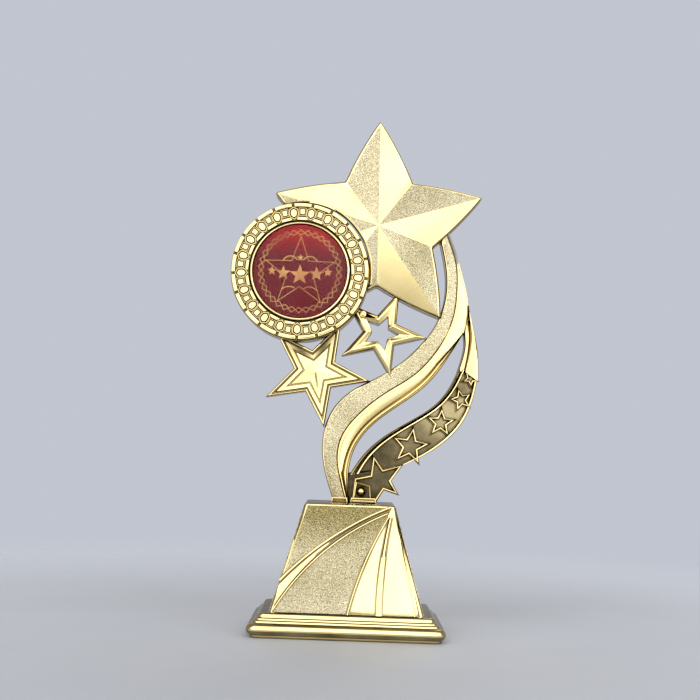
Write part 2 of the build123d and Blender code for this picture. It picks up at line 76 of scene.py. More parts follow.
# The figure's long curves, from the base upwards, as in the CAD model
RIBBON_LEFT = [(-4.4, BASE_HEIGHT), (-7.6, 43.6), (-7.5, 52.7), (-3.2, 60.7), (7.9, 67.7),
               (17.3, 75.7), (22.2, 83.3), (23.8, 91.5), (21.6, 104.9)]
RIBBON_RIGHT = [(-1.0, BASE_HEIGHT), (-3.1, 40.4), (-3.8, 44.5), (-2.8, 50.6), (0.9, 56.0), (9.6, 63.3),
                (16.4, 68.0), (21.2, 73.5), (24.6, 79.4), (26.4, 85.9), (26.7, 90.6), (26.4, 97.0),
                (25.4, 100.8), (23.4, 106.2)]
RIBBON_SIDE = [(26.5, 95.6), (26.9, 97.8), (25.9, 102.5), (24.3, 106.6)]
BAND_RIGHT = [(-0.2, BASE_HEIGHT), (-0.5, 42.6), (0.9, 47.7), (4.5, 53.0), (11.9, 59.1),
              (19.7, 65.4), (25.4, 73.3), (28.9, 79.3)]
BAND_TOP = [(28.9, 79.3), (29.8, 83.6), (29.6, 88.9), (28.3, 94.1), (27.1, 98.2)]
STRAND_LEFT = [(27.6, 69.0), (28.9, 73.7), (29.2, 76.3), (29.0, 79.3), (29.8, 83.6)]
STRAND_CREASE = [(29.3, 69.0), (30.2, 73.7), (30.5, 78.6), (30.0, 83.6)]
OUTER_LEFT = STRAND_CREASE + [(29.8, 86.6)]
OUTER_RIGHT = [(33.1, 66.4), (33.1, 69.2), (32.9, 73.0), (32.0, 78.3), (30.7, 83.5), (30.0, 86.8)]
TRAIL_LEFT = [(-0.4, 40.4), (2.9, 45.6), (8.4, 50.9), (17.2, 56.5), (22.5, 60.5), (26.1, 65.5), (27.9, 69.5)]
TRAIL_RIGHT = [(13.6, 43.4), (18.2, 45.7), (23.3, 49.0), (29.0, 55.0), (31.9, 62.0), (33.1, 68.8)]

# The main star's centre x and z, and the angle of its top ridge
MAIN_STAR = (5.0, 106.5, 90.5)
FACETS_FROM = 5.0  # its facets are further than this from the figure's back

# The other stars: centre x and z, tip radius, notch radius, angle of the first tip
SMALL_STAR = (-10.4, 67.5, 14.9, 5.85, -7.4)
TRAIL_STARS = [
    (31.0, 67.1, 2.6, 1.2, 130.0),
    (28.6, 61.4, 3.6, 1.6, 106.0),
    (23.4, 55.1, 4.6, 1.9, 87.0),
    (15.5, 48.6, 5.8, 2.4, 82.0),
]

# The lowest star of the trail stands on the base and has a window in its leg, with a ball in it
STANDING_STAR = [
    (5.1, 40.7), (0.9, 39.8), (0.2, BASE_HEIGHT), (6.8, BASE_HEIGHT), (8.9, 36.7),
    (13.1, 35.4), (10.8, 39.3), (14.2, 44.1), (8.5, 42.3), (5.6, 46.4),
]
LEG_WINDOW = [(5.4, 34.0), (5.0, 37.7), (1.5, 38.6), (0.9, 34.0)]
BALL_PLACE = (2.8, 36.3)
MARK_PLACE = (1.7, 83.3)  # the small round mark on the open star

# Heights over the figure's back: the trail's floor, and a level just under its bright lines
TRAIL_FLOOR = 3.0
LINE_LEVEL = 5.05


# ---------------------------------------------------------------- outlines
def star(x, z, tip, notch, first):
    """Ten corners of a star, tips and notches in turn, anticlockwise."""
    corners = []
    for step in range(10):
        radius = notch if step % 2 else tip
        angle = radians(first + 36 * step)
        corners.append((x + radius * cos(angle), z + radius * sin(angle)))
    return corners


def spaced(points, count):
    """Evenly spaced points along a dense line."""
    points = np.array(points)
    run = np.concatenate(([0], np.cumsum(np.hypot(*np.diff(points, axis=0).T))))
    places = np.linspace(0, run[-1], count)
    return np.column_stack([np.interp(places, run, points[:, axis]) for axis in (0, 1)])


def smooth_line(points, steps=30):
    """Dense points on the natural cubic spline through a few given ones."""
    knots = np.array(points, float)
    run = np.concatenate(([0], np.cumsum(np.hypot(*np.diff(knots, axis=0).T))))
    gap = np.diff(run)
    last = len(run) - 1
    matrix = np.eye(last + 1)
    target = np.zeros((last + 1, 2))
    for i in range(1, last):
        matrix[i, i - 1:i + 2] = gap[i - 1], 2 * (gap[i - 1] + gap[i]), gap[i]
        target[i] = 6 * ((knots[i + 1] - knots[i]) / gap[i] - (knots[i] - knots[i - 1]) / gap[i - 1])
    bend = np.linalg.solve(matrix, target)
    place = np.linspace(0, run[-1], steps * last)
    k = np.clip(np.searchsorted(run, place) - 1, 0, last - 1)
    before = (run[k + 1] - place)[:, None]
    after = (place - run[k])[:, None]
    width = gap[k][:, None]
    return ((bend[k] * before**3 + bend[k + 1] * after**3) / (6 * width)
            + (knots[k] / width - bend[k] * width / 6) * before
            + (knots[k + 1] / width - bend[k + 1] * width / 6) * after)


def arc_line(start, middle, end, count=40):
    """Points on the circle arc through three points."""
    (x1, z1), (x2, z2), (x3, z3) = start, middle, end
    area = 2 * (x1 * (z2 - z3) + x2 * (z3 - z1) + x3 * (z1 - z2))
    s1, s2, s3 = x1**2 + z1**2, x2**2 + z2**2, x3**2 + z3**2
    cx = (s1 * (z2 - z3) + s2 * (z3 - z1) + s3 * (z1 - z2)) / area
    cz = (s1 * (x3 - x2) + s2 * (x1 - x3) + s3 * (x2 - x1)) / area
    radius = hypot(x1 - cx, z1 - cz)
    first = atan2(z1 - cz, x1 - cx)
    last = atan2(z3 - cz, x3 - cx)
    turn = (last - first + pi) % (2 * pi) - pi
    angles = np.linspace(first, first + turn, count)
    return np.column_stack([cx + radius * np.cos(angles), cz + radius * np.sin(angles)])


def inward(outline, distance):
    """A closed anticlockwise outline moved inwards, with its corners kept sharp."""
    points = np.array(outline, float)
    before = points - np.roll(points, 1, axis=0)
    after = np.roll(points, -1, axis=0) - points
    before /= np.linalg.norm(before, axis=1)[:, None]
    after /= np.linalg.norm(after, axis=1)[:, None]
    n1 = np.column_stack([-before[:, 1], before[:, 0]])
    n2 = np.column_stack([-after[:, 1], after[:, 0]])
    return points + distance * (n1 + n2) / (1 + (n1 * n2).sum(axis=1))[:, None]


def moved(outline, x, z, angle):
    """An outline turned by an angle in degrees and put at a place."""
    c, s = cos(radians(angle)), sin(radians(angle))
    return [(x + c * u - s * v, z + s * u + c * v) for u, v in outline]


# ---------------------------------------------------------------- solids from outlines
def on_figure(u, v, height):
    """Place on the figure: x, z and the depth in front of its back."""
    return (u, BACK_Y - height, v)


# Lean of the block's front and sides, from upright
SLOPE = atan2((BLOCK_DEPTH - TOP_DEPTH) / 2, BASE_HEIGHT - FOOT_HEIGHT)
SIDE_SLOPE = atan2((BLOCK_WIDTH - TOP_WIDTH) / 2, BASE_HEIGHT - FOOT_HEIGHT)


def on_block_front(u, v, height):
    """Place on the block's sloping front: across, up the slope and out of it."""
    return (u, -BLOCK_DEPTH / 2 + v * sin(SLOPE) - height * cos(SLOPE),
            FOOT_HEIGHT + v * cos(SLOPE) + height * sin(SLOPE))


def on_block_back(u, v, height):
    """The same on the back, seen from behind."""
    x, y, z = on_block_front(u, v, height)
    return (-x, -y, z)


def on_block_right(u, v, height):
    """The same on the right side, across from front to back."""
    return (BLOCK_WIDTH / 2 - v * sin(SIDE_SLOPE) + height * cos(SIDE_SLOPE), u,
            FOOT_HEIGHT + v * cos(SIDE_SLOPE) + height * sin(SIDE_SLOPE))


def on_block_left(u, v, height):
    """The same on the left side, across from back to front."""
    x, y, z = on_block_right(u, v, height)
    return (-x, -y, z)


def skin(rings):
    """Closed solid through rings of equal length, with flat ends."""
    count = len(rings[0])
    vertices = [tuple(point) for ring in rings for point in ring]
    faces = []
    for r in range(len(rings) - 1):
        for i in range(count):
            j = (i + 1) % count
            faces.append((r * count + i, r * count + j, (r + 1) * count + j, (r + 1) * count + i))
    faces.append(tuple(range(count)))
    faces.append(tuple(range((len(rings) - 1) * count, len(rings) * count)))
    return vertices, faces


def relief(outline, steps, place=on_figure):
    """Solid whose outline moves inwards and up or down in (inset, height) steps."""
    rings = []
    for inset, height in steps:
        rings.append([place(u, v, height) for u, v in inward(outline, inset)])
    return skin(rings)


NARROWEST = 0.02  # least width of a strip
SPARE_WIDTH = 1.2  # a strip narrower than this many times its profile's millimetres shrinks them
FADED = 0.15  # share of the millimetres that is left where a fading strip ends
LEAST_SLANT = 0.3  # sine of the sharpest angle that is allowed for between the run and the cross lines


def strip(left, right, profile, count=140, place=on_figure, fade_from=1.0):
    """Solid swept between two lines. The profile is (share of the width, mm, height) points.

    The millimetres are measured square to the run, where the two lines' points face each other at a slant.
    From the fade_from share of the length onwards, they shrink towards the far end.
    """
    left = spaced(left, count)
    right = spaced(right, count)
    margin = SPARE_WIDTH * sum(max(abs(mm) for share, mm, _ in profile if share == side) for side in (0, 1))
    rings = []
    fades = np.interp(np.linspace(0, 1, count), [fade_from, 1], [1, FADED if fade_from < 1 else 1])
    runs = np.gradient((left + right) / 2, axis=0)
    for a, b, fade, run in zip(left, right, fades, runs):
        width = max(np.linalg.norm(b - a), NARROWEST)
        across = (b - a) / width
        slant = max(abs(across[0] * run[1] - across[1] * run[0]) / np.linalg.norm(run), LEAST_SLANT)
        shrink = min(fade / slant, width / margin) if margin else 1.0
        ring = []
        for share, mm, height in profile:
            u, v = a + across * (share * width + mm * shrink)
            ring.append(place(u, v, height))
        rings.append(ring)
    return skin(rings)


def turned(profile, x, z, count):
    """Solid of revolution about an axis through the figure, from (radius, depth) points."""
    rings = []
    for radius, depth in profile:
        angles = [2 * pi * i / count for i in range(count)]
        rings.append([on_figure(x + radius * cos(a), z + radius * sin(a), depth) for a in angles])
    return skin(rings)


def together(solids):
    """Several solids as one list of vertices and faces."""
    vertices, faces = [], []
    for some_vertices, some_faces in solids:
        start = len(vertices)
        vertices += some_vertices
        faces += [tuple(start + i for i in face) for face in some_faces]
    return vertices, faces


def make_piece(name, solid, material, stands_for=(), crease=32):
    """Mesh object from a solid in millimetres, smooth but for edges sharper than crease degrees."""
    vertices, faces = solid
    mesh = bpy.data.meshes.new(name)
    mesh.from_pydata([Vector(v) * MM for v in vertices], [], faces)
    outward = bmesh.new()
    outward.from_mesh(mesh)
    bmesh.ops.recalc_face_normals(outward, faces=outward.faces)
    outward.to_mesh(mesh)
    outward.free()
    mesh.materials.append(material)
    for polygon in mesh.polygons:
        polygon.use_smooth = True
    mesh.set_sharp_from_angle(angle=radians(crease))
    piece = bpy.data.objects.new(name, mesh)
    bpy.context.collection.objects.link(piece)
    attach(piece, "root")
    if stands_for:
        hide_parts(*stands_for)
    return piece


# ---------------------------------------------------------------- choice of faces
def repaint(piece, material, chosen):
    """Give the chosen polygons of a piece another material."""
    piece.data.materials.append(material)
    for polygon in piece.data.polygons:
        if chosen(polygon):
            polygon.material_index = len(piece.data.materials) - 1


def lies_low(polygon):
    """Front faces below the bright lines of the trail and its stars, which get painted shade."""
    return polygon.normal.y < -0.9 and BACK_Y - polygon.center.y / MM < LINE_LEVEL


# ---------------------------------------------------------------- materials
PAINTED_WALL_REFLECTION_TONES = (0.20, 0.15, 0.06), (0.30, 0.23, 0.10)  # painted dark reflection on polished faces that look sideways
PAINTED_GROOVE_SHADE_TONES = (0.05, 0.03, 0.008), (0.10, 0.065, 0.022)  # painted shade in polished grooves
LIGHT_FROST = (0.26, 0.215, 0.11), (0.91, 0.83, 0.58)  # specks of the frosted finish in its lighter patches
DARK_FROST = (0.05, 0.038, 0.012), (0.47, 0.385, 0.17)  # and in its darker ones
DEEP_RED = (0.14, 0.004, 0.009), (0.19, 0.006, 0.012)
# The lighter red is painted light on the print's upper part
PAINTED_LIT_RED = (0.42, 0.006, 0.008), (0.54, 0.010, 0.010)
COPPER = (0.42, 0.17, 0.06), (0.60, 0.34, 0.11)
SHADED_GROOVE_WIDTH = 0.7  # gaps narrower than this get painted shade, brown
PAINTED_DARKENING_RISE = 9.0  # height over which the base's frosted fields go darker, a painted dark reflection
LIGHT_PAINTED_FROM, LIGHT_PAINTED_FULL_AT = 4, 12.5  # painted light on the emblem's red grows between these heights over the medal's middle


def new_material(name):
    """Empty node material, with its nodes and links."""
    material = bpy.data.materials.new(name)
    material.use_nodes = True
    return material, material.node_tree.nodes, material.node_tree.links


def noise(nodes, links, scale, detail=2.0, roughness=0.5):
    """Noise in the object's own metres; scale is features per metre."""
    place = nodes.new("ShaderNodeTexCoord")
    texture = nodes.new("ShaderNodeTexNoise")
    texture.inputs["Scale"].default_value = scale
    texture.inputs["Detail"].default_value = detail
    texture.inputs["Roughness"].default_value = roughness
    links.new(place.outputs["Object"], texture.inputs["Vector"])
    return texture.outputs["Fac"]


def blend_colours(nodes, links, factor, low, high, start=0.3, end=0.7):
    """Blend of two fixed colours, between two values of the factor."""
    ramp = nodes.new("ShaderNodeValToRGB")
    ramp.color_ramp.elements[0].position = start
    ramp.color_ramp.elements[0].color = (*low, 1)
    ramp.color_ramp.elements[1].position = end
    ramp.color_ramp.elements[1].color = (*high, 1)
    links.new(factor, ramp.inputs["Fac"])
    return ramp.outputs["Color"]


def remap(nodes, links, value, start, end, low=0.0, high=1.0, kind="LINEAR"):
    """A linked value's range from start to end, mapped to the range from low to high and kept inside it."""
    reach = nodes.new("ShaderNodeMapRange")
    reach.interpolation_type = kind
    reach.inputs["From Min"].default_value = start
    reach.inputs["From Max"].default_value = end
    reach.inputs["To Min"].default_value = low
    reach.inputs["To Max"].default_value = high
    links.new(value, reach.inputs["Value"])
    return reach.outputs["Result"]


def spread(nodes, links, factor, low, high):
    """Map the usual range of a noise to a range of values."""
    return remap(nodes, links, factor, 0.3, 0.7, low, high)


def bump(nodes, links, height, strength, distance, under=None):
    """Bumped normal, on top of another one if it is given; the distance is in metres."""
    node = nodes.new("ShaderNodeBump")
    node.inputs["Strength"].default_value = strength
    node.inputs["Distance"].default_value = distance
    links.new(height, node.inputs["Height"])
    if under is not None:
        links.new(under, node.inputs["Normal"])
    return node.outputs["Normal"]


def front_facing(nodes, links):
    """One on faces towards the front or back, zero on walls at right angles to them."""
    place = nodes.new("ShaderNodeTexCoord")
    along = nodes.new("ShaderNodeVectorMath")
    along.operation = "DOT_PRODUCT"
    along.inputs[1].default_value = (0, 1, 0)
    links.new(place.outputs["Normal"], along.inputs[0])
    size = nodes.new("ShaderNodeMath")
    size.operation = "ABSOLUTE"
    links.new(along.outputs["Value"], size.inputs[0])
    return remap(nodes, links, size.outputs["Value"], 0.45, 0.86, kind="SMOOTHSTEP")


def openness(nodes, links, distance):
    """One on open faces, falling to zero in grooves and corners narrower than the distance."""
    occlusion = nodes.new("ShaderNodeAmbientOcclusion")
    occlusion.samples = 8
    occlusion.inputs["Distance"].default_value = distance * MM
    return remap(nodes, links, occlusion.outputs["AO"], 0.32, 0.92, kind="SMOOTHSTEP")


def between(nodes, links, factor, low, high):
    """Blend of two linked colours, low at zero and high at one."""
    mix = nodes.new("ShaderNodeMix")
    mix.data_type = "RGBA"
    links.new(factor, mix.inputs["Factor"])
    links.new(low, mix.inputs["A"])
    links.new(high, mix.inputs["B"])
    return mix.outputs["Result"]


def polished_gold(name, low, high):
    """Vacuum-metallised plastic: a gold mirror, browner on walls from a painted dark reflection and in
    grooves from painted shade.
    """
    material, nodes, links = new_material(name)
    shader = nodes["Principled BSDF"]
    shader.inputs["Metallic"].default_value = 1.0
    mottle = noise(nodes, links, 90, 3)
    face = blend_colours(nodes, links, mottle, low, high)
    # Painted dark reflection on walls and painted shade in grooves, as brown tones
    wall = blend_colours(nodes, links, mottle, *PAINTED_WALL_REFLECTION_TONES)
    recess = blend_colours(nodes, links, mottle, *PAINTED_GROOVE_SHADE_TONES)
    face_with_painted_wall_reflection = between(nodes, links, front_facing(nodes, links), wall, face)
    open_face = openness(nodes, links, SHADED_GROOVE_WIDTH)
    links.new(between(nodes, links, open_face, recess, face_with_painted_wall_reflection), shader.inputs["Base Color"])
    links.new(spread(nodes, links, noise(nodes, links, 400, 4), 0.05, 0.12), shader.inputs["Roughness"])
    sinks = bump(nodes, links, noise(nodes, links, 70, 1), 0.25, 0.0008)
    ripple = bump(nodes, links, noise(nodes, links, 200, 2), 0.06, 0.0003, sinks)
    skin_marks = bump(nodes, links, noise(nodes, links, 1800, 3), 0.03, 0.0001, ripple)
    links.new(skin_marks, shader.inputs["Normal"])
    return material


def climb(nodes, links, zero_at, one_at):
    """Zero at one height of the object and beyond it, and one at another, both in millimetres."""
    place = nodes.new("ShaderNodeTexCoord")
    split = nodes.new("ShaderNodeSeparateXYZ")
    links.new(place.outputs["Object"], split.inputs["Vector"])
    return remap(nodes, links, split.outputs["Z"], zero_at * MM, one_at * MM)


def product(nodes, links, first, second):
    """The product of two linked values."""
    times = nodes.new("ShaderNodeMath")
    times.operation = "MULTIPLY"
    links.new(first, times.inputs[0])
    links.new(second, times.inputs[1])
    return times.outputs["Value"]


def frosted_gold(name, painted_dark_at=None):
    """The same plating over a sandblasted mould: a fine grain, and optionally a painted dark reflection that
    darkens it towards a given height.
    """
    material, nodes, links = new_material(name)
    shader = nodes["Principled BSDF"]
    shader.inputs["Metallic"].default_value = 1.0
    grain = noise(nodes, links, 5200, 3, 0.65)
    light = blend_colours(nodes, links, grain, *LIGHT_FROST, 0.40, 0.59)
    dark = blend_colours(nodes, links, grain, *DARK_FROST, 0.42, 0.60)
    patches = spread(nodes, links, noise(nodes, links, 45, 2), 0.4, 1.1)
    # Painted dark reflection: the patches fade to the dark tone towards the top
    if painted_dark_at:
        patches = product(nodes, links, patches, climb(nodes, links, painted_dark_at, painted_dark_at - PAINTED_DARKENING_RISE))
    links.new(between(nodes, links, patches, dark, light), shader.inputs["Base Color"])
    links.new(spread(nodes, links, noise(nodes, links, 1500, 2), 0.26, 0.42), shader.inputs["Roughness"])
    coarse = bump(nodes, links, noise(nodes, links, 3000, 2), 0.55, 0.0002)
    fine = bump(nodes, links, noise(nodes, links, 6000, 2), 0.45, 0.0001, coarse)
    links.new(fine, shader.inputs["Normal"])
    return material


def emblem_red():
    """Deep red printed foil, with painted light making it brighter towards the top."""
    material, nodes, links = new_material("emblem_red")
    shader = nodes["Principled BSDF"]
    mottle = noise(nodes, links, 260, 3)
    deep = blend_colours(nodes, links, mottle, *DEEP_RED)
    bright = blend_colours(nodes, links, mottle, *PAINTED_LIT_RED)
    # Painted light: the red is brighter towards the top
    upwards = climb(nodes, links, MEDAL_Z + LIGHT_PAINTED_FROM, MEDAL_Z + LIGHT_PAINTED_FULL_AT)
    links.new(between(nodes, links, upwards, deep, bright), shader.inputs["Base Color"])
    shader.inputs["Roughness"].default_value = 0.4
    shader.inputs["Specular IOR Level"].default_value = 0.1
    links.new(bump(nodes, links, noise(nodes, links, 900, 2), 0.05, 0.0001), shader.inputs["Normal"])
    return material


def emblem_gold():
    """Copper-gold foil of the printed ornament."""
    material, nodes, links = new_material("emblem_gold")
    shader = nodes["Principled BSDF"]
    tint = blend_colours(nodes, links, noise(nodes, links, 180, 2), *COPPER)
    links.new(tint, shader.inputs["Base Color"])
    shader.inputs["Metallic"].default_value = 0.5
    links.new(spread(nodes, links, noise(nodes, links, 1200, 2), 0.30, 0.45), shader.inputs["Roughness"])
    return material


def clear_resin():
    """Clear dome: lets the print through and adds only its own gloss, which grows on surfaces seen aslant."""
    material, nodes, links = new_material("clear_resin")
    nodes.remove(nodes["Principled BSDF"])
    output = nodes["Material Output"]
    through = nodes.new("ShaderNodeBsdfTransparent")
    gloss = nodes.new("ShaderNodeBsdfGlossy")
    gloss.inputs["Roughness"].default_value = 0.04
    slant = nodes.new("ShaderNodeLayerWeight")
    slant.inputs["Blend"].default_value = 0.5
    steep = nodes.new("ShaderNodeMath")
    steep.operation = "POWER"
    steep.inputs[1].default_value = 4.0
    links.new(slant.outputs["Facing"], steep.inputs[0])
    sheen = remap(nodes, links, steep.outputs["Value"], 0, 1, 0.01, 0.8)
    ripple = bump(nodes, links, noise(nodes, links, 90, 1), 0.06, 0.0003)
    links.new(ripple, gloss.inputs["Normal"])
    mix = nodes.new("ShaderNodeMixShader")
    links.new(sheen, mix.inputs["Fac"])
    links.new(through.outputs["BSDF"], mix.inputs[1])
    links.new(gloss.outputs["BSDF"], mix.inputs[2])
    links.new(mix.outputs["Shader"], output.inputs["Surface"])
    return material


def plain_material(name, low, high, metallic, rough_low, rough_high, scale, bump_strength):
    """Two mottled tones with a matching roughness and a slight surface grain."""
    material, nodes, links = new_material(name)
    shader = nodes["Principled BSDF"]
    shader.inputs["Metallic"].default_value = metallic
    grain = noise(nodes, links, scale, 4)
    links.new(blend_colours(nodes, links, grain, low, high), shader.inputs["Base Color"])
    links.new(spread(nodes, links, grain, rough_low, rough_high), shader.inputs["Roughness"])
    links.new(bump(nodes, links, grain, bump_strength, 0.0002), shader.inputs["Normal"])
    return material


GOLD = polished_gold("polished_gold", (0.93, 0.74, 0.33), (0.98, 0.80, 0.39))
# Darker copy of the polished gold, for painted shade
SHADE_PAINTED_GOLD = polished_gold("shaded_gold", (0.12, 0.095, 0.045), (0.52, 0.43, 0.23))
# Darker copy for the medal's pattern ground: painted shade between the gems
GROUND_SHADE_GOLD = polished_gold("medal_ground_shade", (0.09, 0.065, 0.028), (0.30, 0.23, 0.11))
FROST = frosted_gold("frosted_gold")
# The block's frosted fields get a painted dark reflection towards the top
BLOCK_FROST = frosted_gold("frosted_block", painted_dark_at=BASE_HEIGHT - 3)
RED = emblem_red()
FOIL = emblem_gold()
RESIN = clear_resin()
FOAM = plain_material("adhesive_foam", (0.60, 0.60, 0.57), (0.75, 0.75, 0.72), 0, 0.7, 0.9, 1500, 0.3)
COVER = plain_material("cover_plastic", (0.020, 0.020, 0.022), (0.035, 0.035, 0.037), 0, 0.45, 0.6,
                       1400, 0.25)
IRON = plain_material("weight_iron", (0.05, 0.05, 0.055), (0.12, 0.11, 0.10), 0.8, 0.5, 0.75, 700, 0.6)
STEEL = plain_material("screw_steel", (0.50, 0.51, 0.53), (0.66, 0.67, 0.69), 1, 0.25, 0.4, 900, 0.1)


def polished_piece(name, solid, stands_for=(), crease=32):
    """A piece in polished gold."""
    return make_piece(name, solid, GOLD, stands_for, crease)


# ---------------------------------------------------------------- CAD nodes that stay
def paint(node, material):
    """Give a CAD node its material in place of the loaded ones."""
    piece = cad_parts[node]
    piece.data.materials.clear()
    piece.data.materials.append(material)
    return piece


def soften(node, width, angle=30, crease=30, segments=3):
    """Round a CAD node's edges over the angle, in its first material. Creases sharper than crease stay crisp.

    Coplanar faces are joined first, so that the rounding runs evenly along whole edges.
    """
    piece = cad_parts[node]
    piece.data.polygons.foreach_set("use_smooth", [True] * len(piece.data.polygons))
    weld = piece.modifiers.new("join_faces", "WELD")
    weld.merge_threshold = 0.002 * MM
    merge = piece.modifiers.new("merge_flats", "DECIMATE")
    merge.decimate_type = "DISSOLVE"
    merge.angle_limit = radians(0.6)
    merge.delimit = {"MATERIAL"}
    bevel = piece.modifiers.new("soft_edges", "BEVEL")
    bevel.width = width * MM
    bevel.segments = segments
    bevel.limit_method = "ANGLE"
    bevel.angle_limit = radians(angle)
    bevel.use_clamp_overlap = False
    bevel.material = 0
    split = piece.modifiers.new("sharp_creases", "EDGE_SPLIT")
    split.split_angle = radians(crease)
    split.use_edge_sharp = False


for node, material in (("base_shell", GOLD), ("bottom_cover", COVER), ("base_weight", IRON),
                       ("figure_screws", STEEL), ("figure_washers", STEEL), ("open_star", GOLD),
                       ("emblem_pad", FOAM), ("emblem_disc", RED)):
    paint(node, material)


def is_frosted_facet(polygon):
    """Each arm of the main star is frosted on the left of its ridge, looking outwards."""
    x, z, first = MAIN_STAR
    centre = polygon.center / MM
    turn = (np.degrees(atan2(centre.z - z, centre.x - x)) - first + 36) % 72 - 36
    return polygon.normal.y < -0.5 and BACK_Y - centre.y > FACETS_FROM and turn > 0


repaint(paint("main_star", GOLD), FROST, is_frosted_facet)
soften("main_star", 0.7, angle=50, crease=14, segments=5)
soften("open_star", 0.2, angle=20, crease=20, segments=4)
# The foot's lowest wall is darker: painted shade
repaint(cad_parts["base_shell"], SHADE_PAINTED_GOLD,
        lambda polygon: SHADED_FOOT_WALL[0] < polygon.center.z / MM < SHADED_FOOT_WALL[1])
soften("base_shell", 0.3)

# ---------------------------------------------------------------- ribbons
FROSTED_PROFILE = [(0, 0, 0.05), (0, 0, 4.6), (0, 0.12, 5.1), (0, 0.3, 5.4), (0, 0.45, 5.5), (0.5, 0, 5.75),
                   (1, -0.25, 5.6), (1, -0.1, 5.45), (1, 0, 5.0), (1, 0, 0.05)]
frosted_edge = smooth_line(RIBBON_RIGHT)
frosted = make_piece("ribbon_frosted", strip(smooth_line(RIBBON_LEFT), frosted_edge, FROSTED_PROFILE),
                     FROST, ["sweep_ribbon"], crease=25)
repaint(frosted, GOLD, lambda polygon: polygon.normal.y > -0.95)  # its edges are polished

# The ribbon's upper end has a polished wall on the right, which slopes away from it
WALL_FOOT = 95.4
wall_top = frosted_edge[frosted_edge[:, 1] > WALL_FOOT]
WALL_PROFILE = [(0, -0.3, 0.3), (0, -0.05, 5.3), (0, 0.05, 5.45), (0, 0.12, 5.3), (1, 0, 3.4), (1, 0, 0.3)]
polished_piece("ribbon_wall", strip(wall_top, smooth_line(RIBBON_SIDE), WALL_PROFILE, count=40), crease=30)

# The polished band is dished, with a groove and a thin raised rim along its right edge, fading out upwards
BAND_PROFILE = [(0, 0, 0), (0, 0, 4.9), (0, 0.1, 5.2), (0, 0.3, 5.32), (0.22, 0, 5.3), (1, -1.8, 4.98),
                (1, -1.7, 4.9), (1, -1.5, 4.45), (1, -1.1, 4.22), (1, -0.74, 4.3), (1, -0.62, 4.75),
                (1, -0.5, 5.15), (1, -0.36, 5.3), (1, -0.2, 5.22), (1, -0.05, 4.9), (1, 0, 4.5), (1, 0, 0)]
TIP_PROFILE = [(0, 0, 0.2), (0, 0, 4.9), (0, 0.1, 5.2), (0, 0.35, 5.3), (0.5, 0, 5.25), (1, -0.5, 5.1),
               (1, -0.3, 5.25), (1, -0.12, 5.15), (1, 0, 4.8), (1, 0, 0.2)]
BAND_JOINT, BAND_OVERLAP, BAND_END = 80.4, 0.4, 97.6  # heights where its two pieces meet and where it ends
band_left = frosted_edge[frosted_edge[:, 1] < BAND_JOINT]
polished_piece("ribbon_band", strip(band_left, smooth_line(BAND_RIGHT), BAND_PROFILE, fade_from=0.82),
               ["sweep_band"], crease=40)
tip_left = frosted_edge[(frosted_edge[:, 1] > BAND_JOINT - BAND_OVERLAP) & (frosted_edge[:, 1] < BAND_END)]
polished_piece("ribbon_band_tip", strip(tip_left, smooth_line(BAND_TOP), TIP_PROFILE, count=60), crease=40)

STRAND_PROFILE = [(0, 0, 0.1), (0, 0, 4.6), (0, 0.12, 5.1), (0, 0.3, 5.25), (0.6, 0, 5.1), (1, -0.12, 4.9),
                  (1, 0, 4.5), (1, 0, 0.1)]
strand = strip(smooth_line(STRAND_LEFT), smooth_line(STRAND_CREASE), STRAND_PROFILE, count=60)
polished_piece("strand_inner", strand, ["outer_ribbon"], crease=40)
OUTER_PROFILE = [(0, 0, 0.3), (0, 0, 4.6), (0, 0.12, 5.2), (0, 0.3, 5.5), (0.4, 0, 5.85), (0.75, 0, 6.0),
                 (1, -0.3, 5.85), (1, -0.1, 5.5), (1, 0, 5.0), (1, 0, 0.3)]
outer_strand = strip(smooth_line(OUTER_LEFT), smooth_line(OUTER_RIGHT), OUTER_PROFILE, count=60)
polished_piece("strand_outer", outer_strand, crease=40)

# ---------------------------------------------------------------- small stepped star
SMALL_STAR_STEPS = [(0, 0.15), (0, 5.4), (0.1, 5.75), (0.28, 5.98), (0.45, 6.02), (0.58, 5.92),
                    (0.64, 5.3), (0.9, 5.25), (0.96, 5.72), (1.1, 5.86), (1.9, 5.74), (2.02, 5.62),
                    (2.08, 4.95), (2.38, 4.9), (2.46, 5.25), (3.5, 5.5), (4.3, 5.66), (4.6, 5.69)]
polished_piece("star_stepped", relief(star(*SMALL_STAR), SMALL_STAR_STEPS), ["small_star"], crease=25)

# ---------------------------------------------------------------- star trail
TRAIL_PROFILE = [(0, 0, 0), (0, 0, 5.2), (0, 0.08, 5.6), (0, 0.22, 5.78), (0, 0.36, 5.65), (0, 0.44, 5.2),
                 (0, 0.56, 4.3), (0, 0.85, 4.2), (0, 0.92, 4.9), (0, 1.06, 5.4), (0, 1.3, 5.5), (0, 1.5, 5.2),
                 (0, 1.6, TRAIL_FLOOR), (1, -0.85, TRAIL_FLOOR), (1, -0.78, 5.3), (1, -0.6, 5.65),
                 (1, -0.25, 5.7), (1, -0.08, 5.5), (1, 0, 5.0), (1, 0, 0)]
trail_plate = strip(smooth_line(TRAIL_LEFT), smooth_line(TRAIL_RIGHT), TRAIL_PROFILE)
HEEL = [(-1.3, BASE_HEIGHT), (0.6, BASE_HEIGHT), (1.0, 39.7), (5.2, 40.6), (5.4, 42.2), (-0.6, 41.0)]
heel = relief(HEEL, [(0, 0.2), (0, 2.8), (0.2, TRAIL_FLOOR)])
star_foot = relief(STANDING_STAR, [(0, 0.4), (0, TRAIL_FLOOR - 0.1)])
trail_web = polished_piece("trail_web", together([trail_plate, heel, star_foot]), ["star_trail"], crease=35)
# Painted shade on the trail's low floor
repaint(trail_web, SHADE_PAINTED_GOLD, lies_low)

